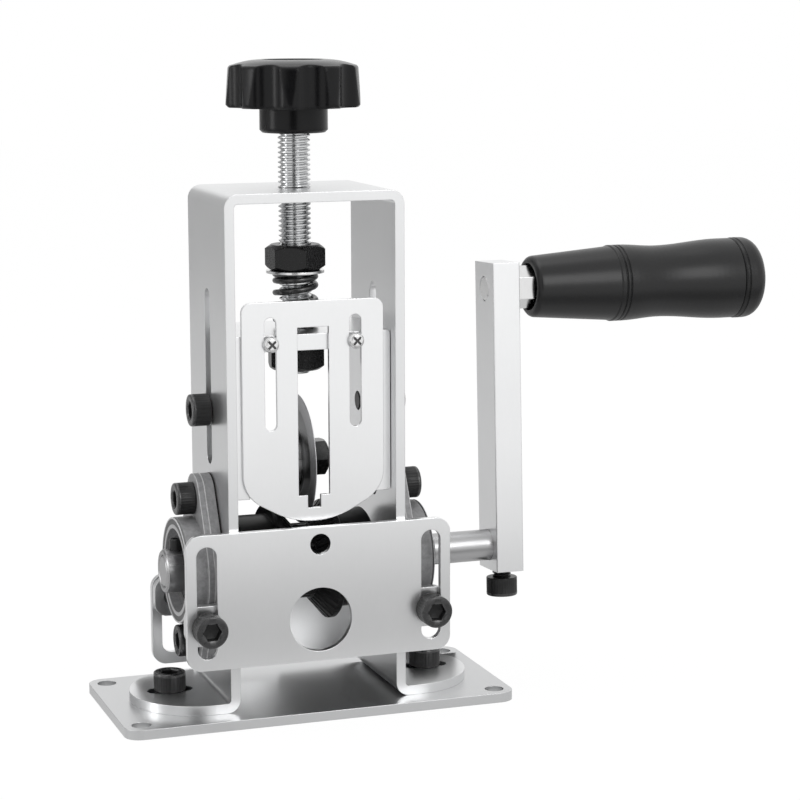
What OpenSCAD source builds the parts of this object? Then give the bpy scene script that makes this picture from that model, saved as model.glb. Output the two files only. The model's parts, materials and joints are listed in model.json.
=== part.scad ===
// Hand crank wire stripper: a grooved drive roller on a cranked shaft and a
// round blade on a spring loaded carriage, in a bent sheet frame on a base plate.
// Millimetres, +Z up, origin at the centre of the base plate's underside.
// +X runs towards the crank, and the wire goes in at the front, from -Y.

/* [Base plate] */
// Length of the base plate
base_l = 125; // [122:1:140]
// Depth of the base plate
base_d = 59; // [56:1:80]
// Thickness of the base plate
base_t = 3; // [2.5:0.5:6]
// Corner radius of the base plate
base_corner_r = 5; // [2:0.5:8]
// Diameter of the bench bolt holes
base_hole_d = 6; // [4:0.5:7]
// Distance from each edge to the bench bolt holes
base_hole_inset = 5.5; // [5:0.5:7]

/* [Frame] */
// Sheet thickness of the frame
sheet_t = 3; // [2.5:0.25:4]
// Width over the outsides of the legs
frame_w = 56.5; // [54:0.5:60]
// Depth of the frame, front to back
frame_d = 43; // [43:0.5:50]
// Height of the frame above the base plate
frame_h = 158.5; // [156:0.5:180]
// Inside radius of the bends
bend_r = 1.25; // [1:0.25:3]
// How far each foot stands out from its leg
foot_reach = 26.4; // [25:0.2:30]
// Distance from the leg to the foot screw
foot_screw_reach = 14; // [12:0.5:15]
// Overall length of the slot in each foot
foot_slot_l = 14.5; // [10:0.5:16]
// Width of every slot that an M6 screw slides in
m6_slot_w = 6.4; // [6.2:0.1:7]
// Length of the leg slot below the guide screw
leg_slot_below = 17; // [10:0.5:20]
// Length of the leg slot above the guide screw
leg_slot_above = 37.5; // [25:0.5:42]
// How far each ear stands out from its leg
ear_reach = 13.8; // [13:0.2:16]
// Height of each ear
ear_h = 12.4; // [11:0.2:13]
// Height of the ear screws above the table
ear_z = 31; // [30:0.5:31]
// Inside radius of the ear bends
ear_bend_r = 1.5; // [0.5:0.25:1.5]
// Corner radius of the ears
ear_corner_r = 4; // [1:0.5:5]

/* [Guide plates] */
// Width of both guide plates
plate_w = 84.5; // [83:0.5:90]
// Thickness of both guide plates
plate_t = 2; // [1.5:0.25:3]
// Height of the front guide plate
front_plate_h = 42; // [41:0.5:48]
// Lower edge of the front guide plate above the table
front_plate_z = 17.6; // [17:0.2:19]
// Height of the rear guide plate
rear_plate_h = 29.5; // [28:0.5:34]
// Distance from a plate's upper or lower edge to its slots
plate_slot_margin = 3.6; // [2.5:0.2:5]
// Corner radius of both guide plates
plate_corner_r = 4.5; // [2:0.5:6]
// Diameter of the small wire hole
small_hole_d = 6.5; // [4.5:0.5:8]
// Diameter of the large wire hole
large_hole_d = 20; // [14:0.5:21]
// Height of the large wire hole above the plate's lower edge
large_hole_rise = 13; // [12:0.5:14]

/* [Flange bearings] */
// Height of the drive shaft above the table
shaft_z = 44; // [44:0.5:48]
// Overall length of the bearing flange
flange_l = 60; // [59:0.5:63]
// Overall width of the bearing flange
flange_w = 36; // [34:0.5:36]
// Thickness of the bearing flange
flange_t = 5.5; // [4.5:0.25:6.5]
// Distance between the flange bolts, as a share of the flange's length
flange_bolt_share = 0.75; // [0.74:0.005:0.76]
// Diameter of the bearing boss
boss_d = 33; // [31:0.5:34]
// Length of the bearing boss from the leg
boss_l = 11.5; // [11:0.25:13]
// Outside diameter of the insert bearing
insert_d = 26; // [25:0.25:27]
// Width of the insert bearing's outer ring
insert_w = 7; // [6:0.25:7.5]
// Diameter of the insert bearing's locking collar
collar_d = 13.6; // [13.2:0.1:14.4]
// Distance from the leg to the end of the locking collar
collar_reach = 15.5; // [14.5:0.25:18]
// Diameter of the bearing balls
ball_d = 3.6; // [3:0.1:3.8]
// Number of balls in each bearing
ball_count = 9; // [7:1:9]

/* [Drive shaft and roller] */
// Diameter of the drive shaft
shaft_d = 10; // [9:0.25:10]
// Outside diameter of the roller
roller_d = 37.6; // [36:0.2:38.4]
// Width of the roller's grooved wheel
roller_w = 20.6; // [20:0.2:24]
// Width of the flat land beside the groove
roller_land = 2.1; // [1:0.1:3]
// Depth of the roller's groove
groove_depth = 7; // [6:0.2:7.4]
// Width of the flat bottom of the groove
groove_floor_w = 4.6; // [3:0.2:6]
// Diameter of the roller's hubs
hub_d = 31; // [28:0.5:32]
// Length of each roller hub
hub_l = 11.3; // [8:0.1:12]
// Number of teeth round each side of the groove
tooth_count = 36; // [24:1:40]
// Depth of the teeth
tooth_depth = 0.7; // [0.4:0.1:0.9]

/* [Crank] */
// Distance from the shaft to the grip's spindle
crank_throw = 83; // [70:1:100]
// Thickness of the crank arm
arm_t = 9.2; // [9:0.1:12]
// Width of the crank arm
arm_w = 15.8; // [14:0.1:18]
// Gap between the base plate's end and the crank arm
arm_clear = 1.7; // [0.6:0.1:3]
// Length of arm beyond the spindle
arm_top_margin = 8.5; // [7:0.5:12]
// Length of arm beyond the shaft
arm_bottom_margin = 8; // [7:0.25:10]
// Gap between the arm and the head of its clamp screw
clamp_head_gap = 2.8; // [1:0.1:4]
// Turn of the crank from upright, as it stands at rest
crank_angle = -2.8; // [-8:0.1:8]

/* [Grip] */
// Diameter of the grip's spindle
spindle_d = 8; // [7:0.25:8.5]
// Size across the flats of the spindle's hexagon
spindle_hex = 12; // [11:0.25:12.5]
// Gap between the arm and the grip
grip_gap = 6; // [5:0.5:9]
// Length of the grip
grip_l = 81.8; // [74:0.2:95]
// Radius of the grip's narrow end
grip_neck_r = 9.8; // [9.4:0.1:10.6]
// Radius of the grip at its waist
grip_waist_r = 11.65; // [11.2:0.05:12.2]
// Radius of the grip at its widest
grip_end_r = 13.3; // [13.2:0.1:15]
// Depth of the recess in the grip's narrow end
grip_recess = 4.5; // [3:0.25:6]

/* [Lead screw and knob] */
// Diameter of the lead screw
screw_d = 10; // [9:0.25:10.25]
// Size across the flats of the two hexagon nuts
nut_af = 16.4; // [16:0.1:18]
// Height of the two hexagon nuts
nut_h = 8; // [6:0.25:9]
// Length of lead screw below the lower nut
screw_tail = 1.2; // [0.6:0.2:4]
// Diameter of the washer
washer_d = 18; // [17:0.5:21]
// Thickness of the washer
washer_t = 0.8; // [0.6:0.1:2]
// Length of the spring
spring_l = 17; // [15:0.2:19]
// Outside diameter of the spring
spring_d = 14.3; // [14.2:0.1:16]
// Wire diameter of the spring
spring_wire = 1.9; // [1.4:0.05:2]
// Number of turns in the spring
spring_turns = 4.2; // [3.5:0.1:5]
// Gap between the frame and the knob
knob_gap = 16.8; // [15:0.1:22]
// Diameter of the knob
knob_d = 41.6; // [40:0.2:46]
// Diameter of the knob at its top
knob_top_d = 40; // [38:0.2:41.6]
// Height of the knob's lobed head
knob_head_h = 14.4; // [11:0.2:16]
// Diameter of the knob's hub
knob_hub_d = 21; // [18:0.2:24]
// Height of the knob's hub
knob_hub_h = 7.7; // [5:0.1:10]
// Number of lobes on the knob
knob_lobes = 9; // [7:1:11]
// Depth of the scallops between the lobes
knob_scallop = 2.8; // [1.5:0.1:3]
// Radius of each lobe
knob_lobe_r = 4; // [3:0.1:4.2]

/* [Blade carriage] */
// Diameter of the blade
blade_d = 40.8; // [40:0.2:42.4]
// Thickness of the blade
blade_t = 2; // [1.6:0.1:3]
// Width of the ground bevel on the blade
blade_bevel = 3.25; // [3:0.25:7]
// Gap between the blade and the bottom of the groove
nip_gap = 0.7; // [0.7:0.05:1.4]
// Diameter of the blade axle
axle_d = 6; // [5:0.25:6.5]
// Wall thickness of the carriage
carriage_t = 5; // [4:0.25:5.5]
// Depth of the carriage, front to back
carriage_d = 33.4; // [32:0.2:33.6]
// Height of the carriage
carriage_h = 50; // [48:0.5:52]
// Distance from the blade axle to the top of the carriage
axle_to_top = 41.3; // [40:0.1:43]
// Distance from the blade axle up to the guide screws
guide_rise = 17; // [14:0.5:20]
// Length of the guide screws
guide_screw_l = 8.5; // [8:0.5:11]

/* [Blade guard] */
// Width of the blade guard
guard_w = 45; // [43:0.5:47]
// Thickness of the blade guard
guard_t = 1.2; // [0.8:0.1:1.6]
// Height of the guard above the blade axle
guard_top = 51.6; // [49:0.2:54]
// Distance from the blade axle down to the guard's tip
guard_bottom = 16.5; // [15.6:0.1:16.8]
// Width of the slot that shows the blade
sight_slot_w = 10; // [8:0.25:12]
// Width of the notch that the blade runs in
notch_w = 4.2; // [4:0.1:5]
// Distance from the blade axle down to the bottom of the notch
notch_depth = 12.3; // [12.2:0.1:12.8]
// Distance from the blade axle up to the top of the sight slot
sight_slot_rise = 43.5; // [42:0.5:44]
// Distance from the blade axle down to the bottom of the sight slot
sight_slot_drop = 8.4; // [8:0.1:9]
// Travel of the guard below its place, set by its slots
guard_slot_down = 6.2; // [6:0.1:7]
// Length of the guard's slots below the guard screws
guard_slot_below = 24.7; // [22:0.1:25]
// Width of the guard's adjusting slots
guard_slot_w = 3.8; // [3.4:0.1:4.2]
// Distance between the guard screws
guard_screw_spacing = 27; // [25:0.5:28]

/* [Clearances] */
// Radial clearance of shafts and screws in their holes
fit_gap = 0.05; // [0.03:0.01:0.08]
// Gap between faces that slide on each other
slide_gap = 0.15; // [0.1:0.05:0.3]

/* [Hidden] */
$fn = 64;
eps = 0.01;
over = 1;
black = [0.12, 0.12, 0.12];
hex_sides = 6;

// M6 socket head screws
m6_r = 3;
m6_head_r = 5;
m6_head_h = 6;
m6_socket_af = 5;
m6_socket_depth = 3;
m6_edge = 0.6;
m6_hole_r = m6_r + fit_gap;

// Frame
frame_top = base_t + frame_h;
frame_under = frame_top - sheet_t;
leg_out = frame_w / 2;
leg_in = leg_out - sheet_t;
bend_out = bend_r + sheet_t;
front_y = -frame_d / 2;
foot_end = leg_out + foot_reach;
foot_screw_x = leg_out + foot_screw_reach;
foot_top = base_t + sheet_t;
ear_end = leg_out + ear_reach;
ear_bend_out = ear_bend_r + sheet_t;
ear_relief = 1.5;
leg_shaft_hole_r = 8;

// Guide plates
plate_screw_x = (leg_out + ear_bend_r + ear_end) / 2;
front_plate_y = front_y - slide_gap - plate_t;
rear_plate_y = -front_y + slide_gap;
slot_r = m6_slot_w / 2;
rear_slot_top = ear_z + slot_r;
rear_plate_z = rear_slot_top + plate_slot_margin - rear_plate_h;
plate_screw_l = plate_t + slide_gap + sheet_t + 1;

// Bearings, measured outwards from the leg
flange_bolt_spacing = flange_l * flange_bolt_share;
flange_end_r = (flange_l - flange_bolt_spacing) / 2;
boss_edge = 0.8;
insert_start = 1.5;
insert_mid = insert_start + insert_w / 2;
insert_bore_r = insert_d / 2;
ring_wall = 2.4;
race_r = (insert_bore_r - ring_wall + collar_d / 2) / 2 + 0.6;
ball_gap = 0.06;
inner_ring_r = race_r - 1.4;
outer_ring_r = race_r + 1.4;
seal_t = 0.5;
seal_inset = 0.2;
collar_start = 1;
collar_grub_s = 11.2;
collar_grub_angle = 240;
m4_r = 2;
m4_socket_af = 2;
collar_grub_l = 5;
bolt_l = flange_t + sheet_t - 0.5;
bolt_pocket_r = m6_head_r + slide_gap;

// Drive shaft
shaft_r = shaft_d / 2;
shaft_left = -(leg_out + collar_reach);
arm_in = base_l / 2 + arm_clear;
arm_out = arm_in + arm_t;
roller_r = roller_d / 2;
groove_r = roller_r - groove_depth;
groove_half = roller_w / 2 - roller_land;
groove_floor_half = groove_floor_w / 2;
nip_drop = 1.6;
groove_angle = atan2(groove_depth, groove_half - groove_floor_half);
hub_end = roller_w / 2 + hub_l;
m5_r = 2.5;
m5_socket_af = 2.5;
roller_grub_l = 6;
shaft_flat = 0.5;

// Crank
arm_bottom = shaft_z - arm_bottom_margin;
arm_top = shaft_z + crank_throw + arm_top_margin;
arm_edge = 0.4;
arm_mid = (arm_in + arm_out) / 2;
spindle_z = shaft_z + crank_throw;
spindle_r = spindle_d / 2;
grip_x = arm_out + grip_gap;
spindle_hex_end = grip_x + grip_recess - 2 * slide_gap;
recess_r = spindle_hex / sqrt(3) + 0.7;
ring_s = grip_l * 0.345;
ring_l = 3.7;
ring_r = grip_waist_r + 0.75;
ring_step = 0.35;
waist_s = grip_l * 0.55;
swell_s = grip_l * 0.83;
swell_r = grip_end_r - 0.15;
groove_w = 0.8;
groove_pitch = 1.35;
cap_joint = grip_l * 0.879;
spindle_head_s = grip_l * 0.725;
spindle_head_r = 6;
spindle_head_t = 3;
cavity_r = 9;
cap_plug_l = 4;

// Blade carriage, hung over the groove of the roller
axle_z = shaft_z + groove_r + nip_gap + blade_d / 2;
axle_r = axle_d / 2;
carriage_w = 2 * (leg_in - slide_gap);
carriage_top = axle_z + axle_to_top;
carriage_bottom = carriage_top - carriage_h;
carriage_edge = 1;
guide_z = axle_z + guide_rise;
guide_head_x = leg_out + slide_gap;
guard_screw_z = carriage_top - carriage_t / 2;
m3_r = 1.5;
m3_head_r = 2.5;
m3_head_h = 1.9;
m3_l = 8;
blade_r = blade_d / 2;
blade_land = 0.2;
blade_nut_af = 10.6;
blade_nut_h = 6.5;
blade_washer_r = 9;
blade_washer_t = 1.6;

// Lead screw stack, from the carriage upwards
screw_r = screw_d / 2;
lower_nut_z = carriage_top - carriage_t - nut_h - eps;
washer_z = carriage_top + spring_l;
upper_nut_z = washer_z + washer_t;
knob_hub_z = frame_top + knob_gap;
knob_head_z = knob_hub_z + knob_hub_h;
screw_bottom = lower_nut_z - screw_tail;
screw_in_knob = 12;
upper_nut_turn = 3.3;
lower_nut_turn = -10.2;
screw_clear_r = screw_r + 0.25;
spring_mean_r = (spring_d - spring_wire) / 2;

// Blade guard
guard_y = -carriage_d / 2 - slide_gap - guard_t;
guard_taper_angle = 28.5;
guard_side_r = 11;
guard_tip_r = 26;
guard_top_r = 3;
sight_slot_top = axle_z + sight_slot_rise;
sight_slot_bottom = axle_z - sight_slot_drop;
guard_slot_top = guard_screw_z + guard_slot_down + guard_slot_w / 2;
guard_slot_bottom = guard_screw_z - guard_slot_below - guard_slot_w / 2;

// Copies a right hand piece to the left hand side too
module both_sides() {
    children();
    mirror([1, 0, 0]) children();
}

// Copies a front piece to the back too
module front_and_back() {
    children();
    mirror([0, 1, 0]) children();
}

// Turns a piece made along Z so that it points along +X
module along_x() {
    rotate([0, 90, 0]) children();
}

// Unit vector from p towards q
function towards(p, q) = (q - p) / norm(q - p);

// Angle at corner b of a convex outline a, b, c
function corner_angle(a, b, c) = acos(towards(b, a) * towards(b, c));

// Tangent points and centre of a round corner
function corner_run(a, b, c, r) = r / tan(corner_angle(a, b, c) / 2);
function corner_start(a, b, c, r) = b + towards(b, a) * corner_run(a, b, c, r);
function corner_end(a, b, c, r) = b + towards(b, c) * corner_run(a, b, c, r);
function corner_centre(a, b, c, r) =
    b + towards(b, (towards(b, a) + towards(b, c)) + b) * r / sin(corner_angle(a, b, c) / 2);

// Disc that rounds the corner at b, cut to that corner
module corner_disc(a, b, c, r) {
    centre = corner_centre(a, b, c, r);
    intersection() {
        translate(centre) circle(r = r);
        polygon([corner_start(a, b, c, r), b, corner_end(a, b, c, r), centre]);
    }
}

// Convex outline whose corners are true arcs
module rounded_outline(pts, radii) {
    n = len(pts);
    polygon([
        for (i = [0 : n - 1])
            let (a = pts[(i + n - 1) % n], b = pts[i], c = pts[(i + 1) % n], r = radii[i])
            each [corner_start(a, b, c, r), corner_end(a, b, c, r)]
    ]);
    for (i = [0 : n - 1]) corner_disc(pts[(i + n - 1) % n], pts[i], pts[(i + 1) % n], radii[i]);
}

// Rectangle with round corners, centred
module rounded_rect(w, h, r) {
    rounded_outline(
        [[-w / 2, -h / 2], [w / 2, -h / 2], [w / 2, h / 2], [-w / 2, h / 2]],
        [r, r, r, r]
    );
}

// Slot with round ends along Y, from one end to the other
module slot_outline(w, low, high) {
    translate([-w / 2, low + w / 2]) square([w, high - low - w]);
    translate([0, low + w / 2]) circle(d = w);
    translate([0, high - w / 2]) circle(d = w);
}

// Quarter of a ring in the quadrant given by two signs
module quarter_ring(r_out, r_in, sx, sy) {
    intersection() {
        difference() {
            circle(r = r_out);
            circle(r = r_in);
        }
        translate([sx > 0 ? 0 : -r_out, sy > 0 ? 0 : -r_out]) square(r_out);
    }
}

// Upright sheet in the XZ plane, its front face at y
module upright_sheet(y, t) {
    translate([0, y + t, 0]) rotate([90, 0, 0]) linear_extrude(t) children();
}

// Regular hexagon prism across flats af, corners on the local Y axis
module hex_prism(af, h) {
    rotate([0, 0, 180 / hex_sides]) cylinder(r = af / sqrt(3), h = h, $fn = hex_sides);
}

// Socket head cap screw, head upwards, underside of the head at the origin
module socket_screw(shank) {
    difference() {
        rotate_extrude() polygon([
            [0, -shank], [m6_r - m6_edge, -shank], [m6_r, m6_edge - shank], [m6_r, 0],
            [m6_head_r, 0], [m6_head_r, m6_head_h - m6_edge], [m6_head_r - m6_edge, m6_head_h],
            [0, m6_head_h]
        ]);
        translate([0, 0, m6_head_h - m6_socket_depth]) hex_prism(m6_socket_af, m6_socket_depth + over);
    }
}

// Grub screw with its tip at the origin, pointing down
module grub_screw(r, l, af) {
    edge = 0.3;
    difference() {
        rotate_extrude() polygon([
            [0, 0], [r / 2, 0], [r, r / 2], [r, l - edge], [r - edge, l], [0, l]
        ]);
        translate([0, 0, l - r]) hex_prism(af, r + over);
    }
}

// Hexagon nut, chamfered on both sides, standing on the origin
module hex_nut(af, h, bore_r) {
    corner_r = af / sqrt(3);
    drop = (corner_r - af / 2) * tan(30);
    difference() {
        intersection() {
            hex_prism(af, h);
            rotate_extrude() polygon([
                [0, 0], [af / 2 - drop, 0], [corner_r + eps, drop * 2], [corner_r + eps, h - drop * 2],
                [af / 2 - drop, h], [0, h]
            ]);
        }
        translate([0, 0, -over]) cylinder(r = bore_r, h = h + 2 * over);
    }
}

// Flat washer standing on the origin
module flat_washer(r_out, r_in, t) {
    difference() {
        cylinder(r = r_out, h = t);
        translate([0, 0, -over]) cylinder(r = r_in, h = t + 2 * over);
    }
}

module base_plate() {
    hole_x = base_l / 2 - base_hole_inset;
    hole_y = base_d / 2 - base_hole_inset;
    color("silver") difference() {
        linear_extrude(base_t) rounded_rect(base_l, base_d, base_corner_r);
        for (x = [-hole_x, hole_x], y = [-hole_y, hole_y])
            translate([x, y, -over]) cylinder(d = base_hole_d, h = base_t + 2 * over);
        for (x = [-foot_screw_x, foot_screw_x])
            translate([x, 0, -over]) cylinder(r = m6_hole_r, h = base_t + 2 * over);
    }
}

// Right half of the bent frame, seen from the front
module frame_half_outline() {
    translate([0, frame_under]) square([leg_out - bend_out, sheet_t]);
    translate([leg_out - bend_out, frame_top - bend_out]) quarter_ring(bend_out, bend_r, 1, 1);
    translate([leg_in, base_t + bend_out]) square([sheet_t, frame_h - 2 * bend_out]);
    translate([leg_in + bend_out, base_t + bend_out]) quarter_ring(bend_out, bend_r, -1, -1);
    translate([leg_in + bend_out, base_t]) square([foot_end - leg_in - bend_out, sheet_t]);
}

// Plan outline that rounds the ends of both feet
module frame_plan_outline() {
    end_r = frame_d / 2;
    square([2 * (foot_end - end_r), frame_d], center = true);
    for (x = [end_r - foot_end, foot_end - end_r]) translate([x, 0]) circle(r = end_r);
}

// Front right ear, bent outwards from the edge of the leg
module frame_ear() {
    bend_x = leg_out + ear_bend_r;
    bend_y = front_y + ear_bend_out;
    difference() {
        intersection() {
            translate([0, 0, ear_z - ear_h / 2]) linear_extrude(ear_h) {
                translate([bend_x, front_y]) square([ear_end - bend_x, sheet_t]);
                translate([bend_x, bend_y]) quarter_ring(ear_bend_out, ear_bend_r, -1, -1);
            }
            upright_sheet(front_y - over, ear_bend_out + 2 * over)
                translate([0, ear_z]) rounded_rect(2 * ear_end, ear_h, ear_corner_r);
        }
        translate([plate_screw_x, 0, ear_z]) rotate([90, 0, 0]) cylinder(r = m6_hole_r, h = frame_d);
    }
}

module main_frame() {
    relief_h = ear_h + 2 * ear_relief;
    color("gainsboro") {
        difference() {
            intersection() {
                rotate([90, 0, 0]) linear_extrude(frame_d, center = true) {
                    frame_half_outline();
                    mirror([1, 0]) frame_half_outline();
                }
                linear_extrude(frame_top + over) frame_plan_outline();
            }
            cylinder(r = screw_r + fit_gap, h = frame_top + over);
            both_sides() {
                translate([foot_screw_x, 0, 0]) rotate([0, 0, 90])
                    linear_extrude(foot_top + over)
                        slot_outline(m6_slot_w, -foot_slot_l / 2, foot_slot_l / 2);
                translate([0, 0, shaft_z]) along_x() cylinder(r = leg_shaft_hole_r, h = leg_out + over);
                for (z = [-1, 1] * flange_bolt_spacing / 2)
                    translate([0, 0, shaft_z + z]) along_x() cylinder(r = m6_hole_r, h = leg_out + over);
                translate([0, 0, guide_z]) rotate([90, 0, 90]) linear_extrude(leg_out + over)
                    slot_outline(m6_slot_w, -leg_slot_below, leg_slot_above);
                front_and_back() translate([leg_in - over, front_y - over, ear_z - relief_h / 2])
                    cube([sheet_t + 2 * over, ear_bend_out + over, relief_h]);
            }
        }
        both_sides() front_and_back() frame_ear();
    }
}

module foot_screws() {
    color("dimgray") both_sides() translate([foot_screw_x, 0, foot_top]) socket_screw(foot_top - eps);
}

// Two overlapping arcs and their tangents, long axis along Y
module flange_outline() {
    mid_r = flange_w / 2;
    end_r = flange_end_r;
    half = flange_bolt_spacing / 2;
    lean = asin((mid_r - end_r) / half);
    points = [
        (mid_r - eps / 2) * [cos(lean), sin(lean)],
        [0, half] + (end_r - eps / 2) * [cos(lean), sin(lean)]
    ];
    polygon([
        points[0], points[1], [-points[1].x, points[1].y], [-points[0].x, points[0].y],
        [-points[0].x, -points[0].y], [-points[1].x, -points[1].y], [points[1].x, -points[1].y],
        [points[0].x, -points[0].y]
    ]);
    circle(r = mid_r);
    for (y = [-half, half]) translate([0, y]) circle(r = end_r);
}

// Cast housing on the right leg: flange, boss and the seat of the insert bearing
module bearing_housing() {
    translate([leg_out, 0, shaft_z]) rotate([90, 0, 90]) difference() {
        union() {
            linear_extrude(flange_t) flange_outline();
            rotate_extrude() polygon([
                [0, 0], [boss_d / 2, 0], [boss_d / 2, boss_l - boss_edge],
                [boss_d / 2 - boss_edge, boss_l], [0, boss_l]
            ]);
        }
        translate([0, 0, -over]) cylinder(r = insert_bore_r + fit_gap, h = boss_l + 2 * over);
        for (y = [-1, 1] * flange_bolt_spacing / 2) {
            translate([0, y, -over]) cylinder(r = m6_hole_r, h = flange_t + 2 * over);
            translate([0, y, flange_t + eps]) cylinder(r = bolt_pocket_r, h = boss_l);
        }
    }
}

module right_bearing_housing() {
    color("gray") bearing_housing();
}

module left_bearing_housing() {
    color("gray") mirror([1, 0, 0]) bearing_housing();
}

module bearing_bolts() {
    color("dimgray") both_sides()
        for (z = [-1, 1] * flange_bolt_spacing / 2)
            translate([leg_out + flange_t, 0, shaft_z + z]) along_x() socket_screw(bolt_l);
}

// Places a bearing part on the right leg, its axis outwards from the leg
module on_bearing() {
    translate([leg_out, 0, shaft_z]) along_x() children();
}

// Round track in both rings for the balls
module ball_track() {
    translate([race_r, insert_mid]) circle(r = ball_d / 2 + ball_gap);
}

module bearing_outer_rings() {
    color("lightgray") both_sides() on_bearing() rotate_extrude() difference() {
        translate([outer_ring_r, insert_start]) square([insert_bore_r - outer_ring_r, insert_w]);
        ball_track();
    }
}

module bearing_inner_rings() {
    collar_r = collar_d / 2;
    edge = 0.5;
    bore_edge = 0.4;
    color("lightgray") both_sides() on_bearing() difference() {
        rotate_extrude() difference() {
            polygon([
                [shaft_r + fit_gap, collar_start], [inner_ring_r, collar_start],
                [inner_ring_r, insert_start + insert_w], [collar_r, insert_start + insert_w + 1],
                [collar_r, collar_reach - edge], [collar_r - edge, collar_reach],
                [shaft_r + fit_gap + bore_edge, collar_reach],
                [shaft_r + fit_gap, collar_reach - bore_edge]
            ]);
            ball_track();
        }
        collar_grubs() cylinder(r = m4_r + fit_gap, h = collar_d);
    }
}

// Two grub screws round the locking collar, one of them straight up
module collar_grubs() {
    for (a = [180, 180 + collar_grub_angle])
        translate([0, 0, collar_grub_s]) rotate([0, 0, a]) translate([shaft_r, 0, 0]) along_x() children();
}

module collar_grub_screws() {
    color("dimgray") both_sides() on_bearing()
        collar_grubs() translate([0, 0, fit_gap]) grub_screw(m4_r, collar_grub_l, m4_socket_af);
}

module bearing_seals() {
    color("dimgray") both_sides() on_bearing()
        for (s = [insert_start + seal_inset, insert_start + insert_w - seal_inset - seal_t])
            translate([0, 0, s]) flat_washer(outer_ring_r - fit_gap, inner_ring_r + 2 * fit_gap, seal_t);
}

module bearing_balls() {
    color("white") both_sides() on_bearing()
        for (i = [0 : ball_count - 1])
            rotate([0, 0, i * 360 / ball_count]) translate([race_r, 0, insert_mid]) sphere(d = ball_d);
}

// Screw through one guide plate into each front ear
module ear_screws() {
    both_sides() translate([plate_screw_x, front_plate_y, ear_z])
        rotate([90, 0, 0]) socket_screw(plate_screw_l);
}

module front_plate_screws() {
    color("dimgray") ear_screws();
}

module rear_plate_screws() {
    color("dimgray") mirror([0, 1, 0]) ear_screws();
}

// Guide plate outline with its two adjusting slots
module plate_outline(low, h) {
    difference() {
        translate([0, low + h / 2]) rounded_rect(plate_w, h, plate_corner_r);
        for (x = [-plate_screw_x, plate_screw_x])
            translate([x, 0])
                slot_outline(m6_slot_w, low + plate_slot_margin, low + h - plate_slot_margin);
    }
}

module front_guide_plate() {
    color("gainsboro") upright_sheet(front_plate_y, plate_t) difference() {
        plate_outline(front_plate_z, front_plate_h);
        translate([0, shaft_z + groove_r - nip_drop]) circle(d = small_hole_d);
        translate([0, front_plate_z + large_hole_rise]) circle(d = large_hole_d);
    }
}

module rear_guide_plate() {
    color("gainsboro") upright_sheet(rear_plate_y, plate_t) plate_outline(rear_plate_z, rear_plate_h);
}

// Turns a piece of the upright crank to where it stands at rest
module on_crank() {
    translate([0, 0, shaft_z]) rotate([crank_angle, 0, 0]) translate([0, 0, -shaft_z]) children();
}

module drive_shaft() {
    edge = 0.6;
    length = arm_out - shaft_left;
    color("silver") on_crank() difference() {
        translate([shaft_left, 0, shaft_z]) along_x() rotate_extrude() polygon([
            [0, 0], [shaft_r - edge, 0], [shaft_r, edge], [shaft_r, length - edge],
            [shaft_r - edge, length], [0, length]
        ]);
        translate([arm_mid - m6_r - 1, -shaft_r, shaft_z - shaft_r - over])
            cube([2 * m6_r + 2, shaft_d, over + shaft_flat]);
    }
}

// Plan of one notch, its point at the depth of the teeth
module notch_outline() {
    flare = 2 * tooth_depth;
    polygon([[-flare, flare - tooth_depth], [0, -tooth_depth], [flare, flare - tooth_depth]]);
}

// Notches down the right side of the groove
module groove_teeth() {
    run = norm([groove_half - groove_floor_half, groove_depth]);
    tooth_start = 0.6;
    for (i = [0 : tooth_count - 1])
        rotate([i * 360 / tooth_count, 0, 0]) translate([groove_floor_half, 0, groove_r])
            rotate([0, -groove_angle, 0]) rotate([90, 0, 90]) translate([0, 0, tooth_start])
                linear_extrude(run) notch_outline();
}

// Notches across the flat bottom of the groove
module floor_teeth() {
    for (i = [0 : tooth_count - 1])
        rotate([i * 360 / tooth_count, 0, 0]) translate([-groove_floor_half, 0, groove_r])
            rotate([90, 0, 90]) linear_extrude(groove_floor_w) notch_outline();
}

// Places a roller grub screw in the right hub, pointing at the shaft
module roller_grub_place() {
    translate([(roller_w / 2 + hub_end) / 2, 0, shaft_z]) rotate([-90, 0, 0])
        translate([0, 0, shaft_r]) children();
}

module drive_roller() {
    edge = 0.6;
    color("dimgray") difference() {
        translate([0, 0, shaft_z]) difference() {
            along_x() rotate_extrude() polygon([
                [shaft_r + fit_gap, -hub_end], [hub_d / 2 - edge, -hub_end], [hub_d / 2, edge - hub_end],
                [hub_d / 2, -roller_w / 2], [roller_r - edge, -roller_w / 2],
                [roller_r, edge - roller_w / 2], [roller_r, -groove_half],
                [groove_r, -groove_floor_half], [groove_r, groove_floor_half],
                [roller_r, groove_half], [roller_r, roller_w / 2 - edge],
                [roller_r - edge, roller_w / 2], [hub_d / 2, roller_w / 2],
                [hub_d / 2, hub_end - edge], [hub_d / 2 - edge, hub_end], [shaft_r + fit_gap, hub_end]
            ]);
            both_sides() groove_teeth();
            floor_teeth();
        }
        both_sides() roller_grub_place() cylinder(r = m5_r + fit_gap, h = hub_d);
    }
}

module roller_grub_screws() {
    color("black") both_sides() roller_grub_place()
        translate([0, 0, fit_gap]) grub_screw(m5_r, roller_grub_l, m5_socket_af);
}

module crank_arm() {
    color("gainsboro") on_crank() difference() {
        translate([arm_mid, 0, arm_bottom]) linear_extrude(arm_top - arm_bottom)
            rounded_rect(arm_t, arm_w, arm_edge);
        translate([arm_in - over, 0, shaft_z]) along_x()
            cylinder(r = shaft_r + fit_gap, h = arm_t + 2 * over);
        translate([arm_in - over, 0, spindle_z]) along_x()
            cylinder(r = spindle_r + fit_gap, h = arm_t + 2 * over);
        translate([arm_mid, 0, arm_bottom - over]) cylinder(r = m6_hole_r, h = arm_bottom_margin + over);
    }
}

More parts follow.
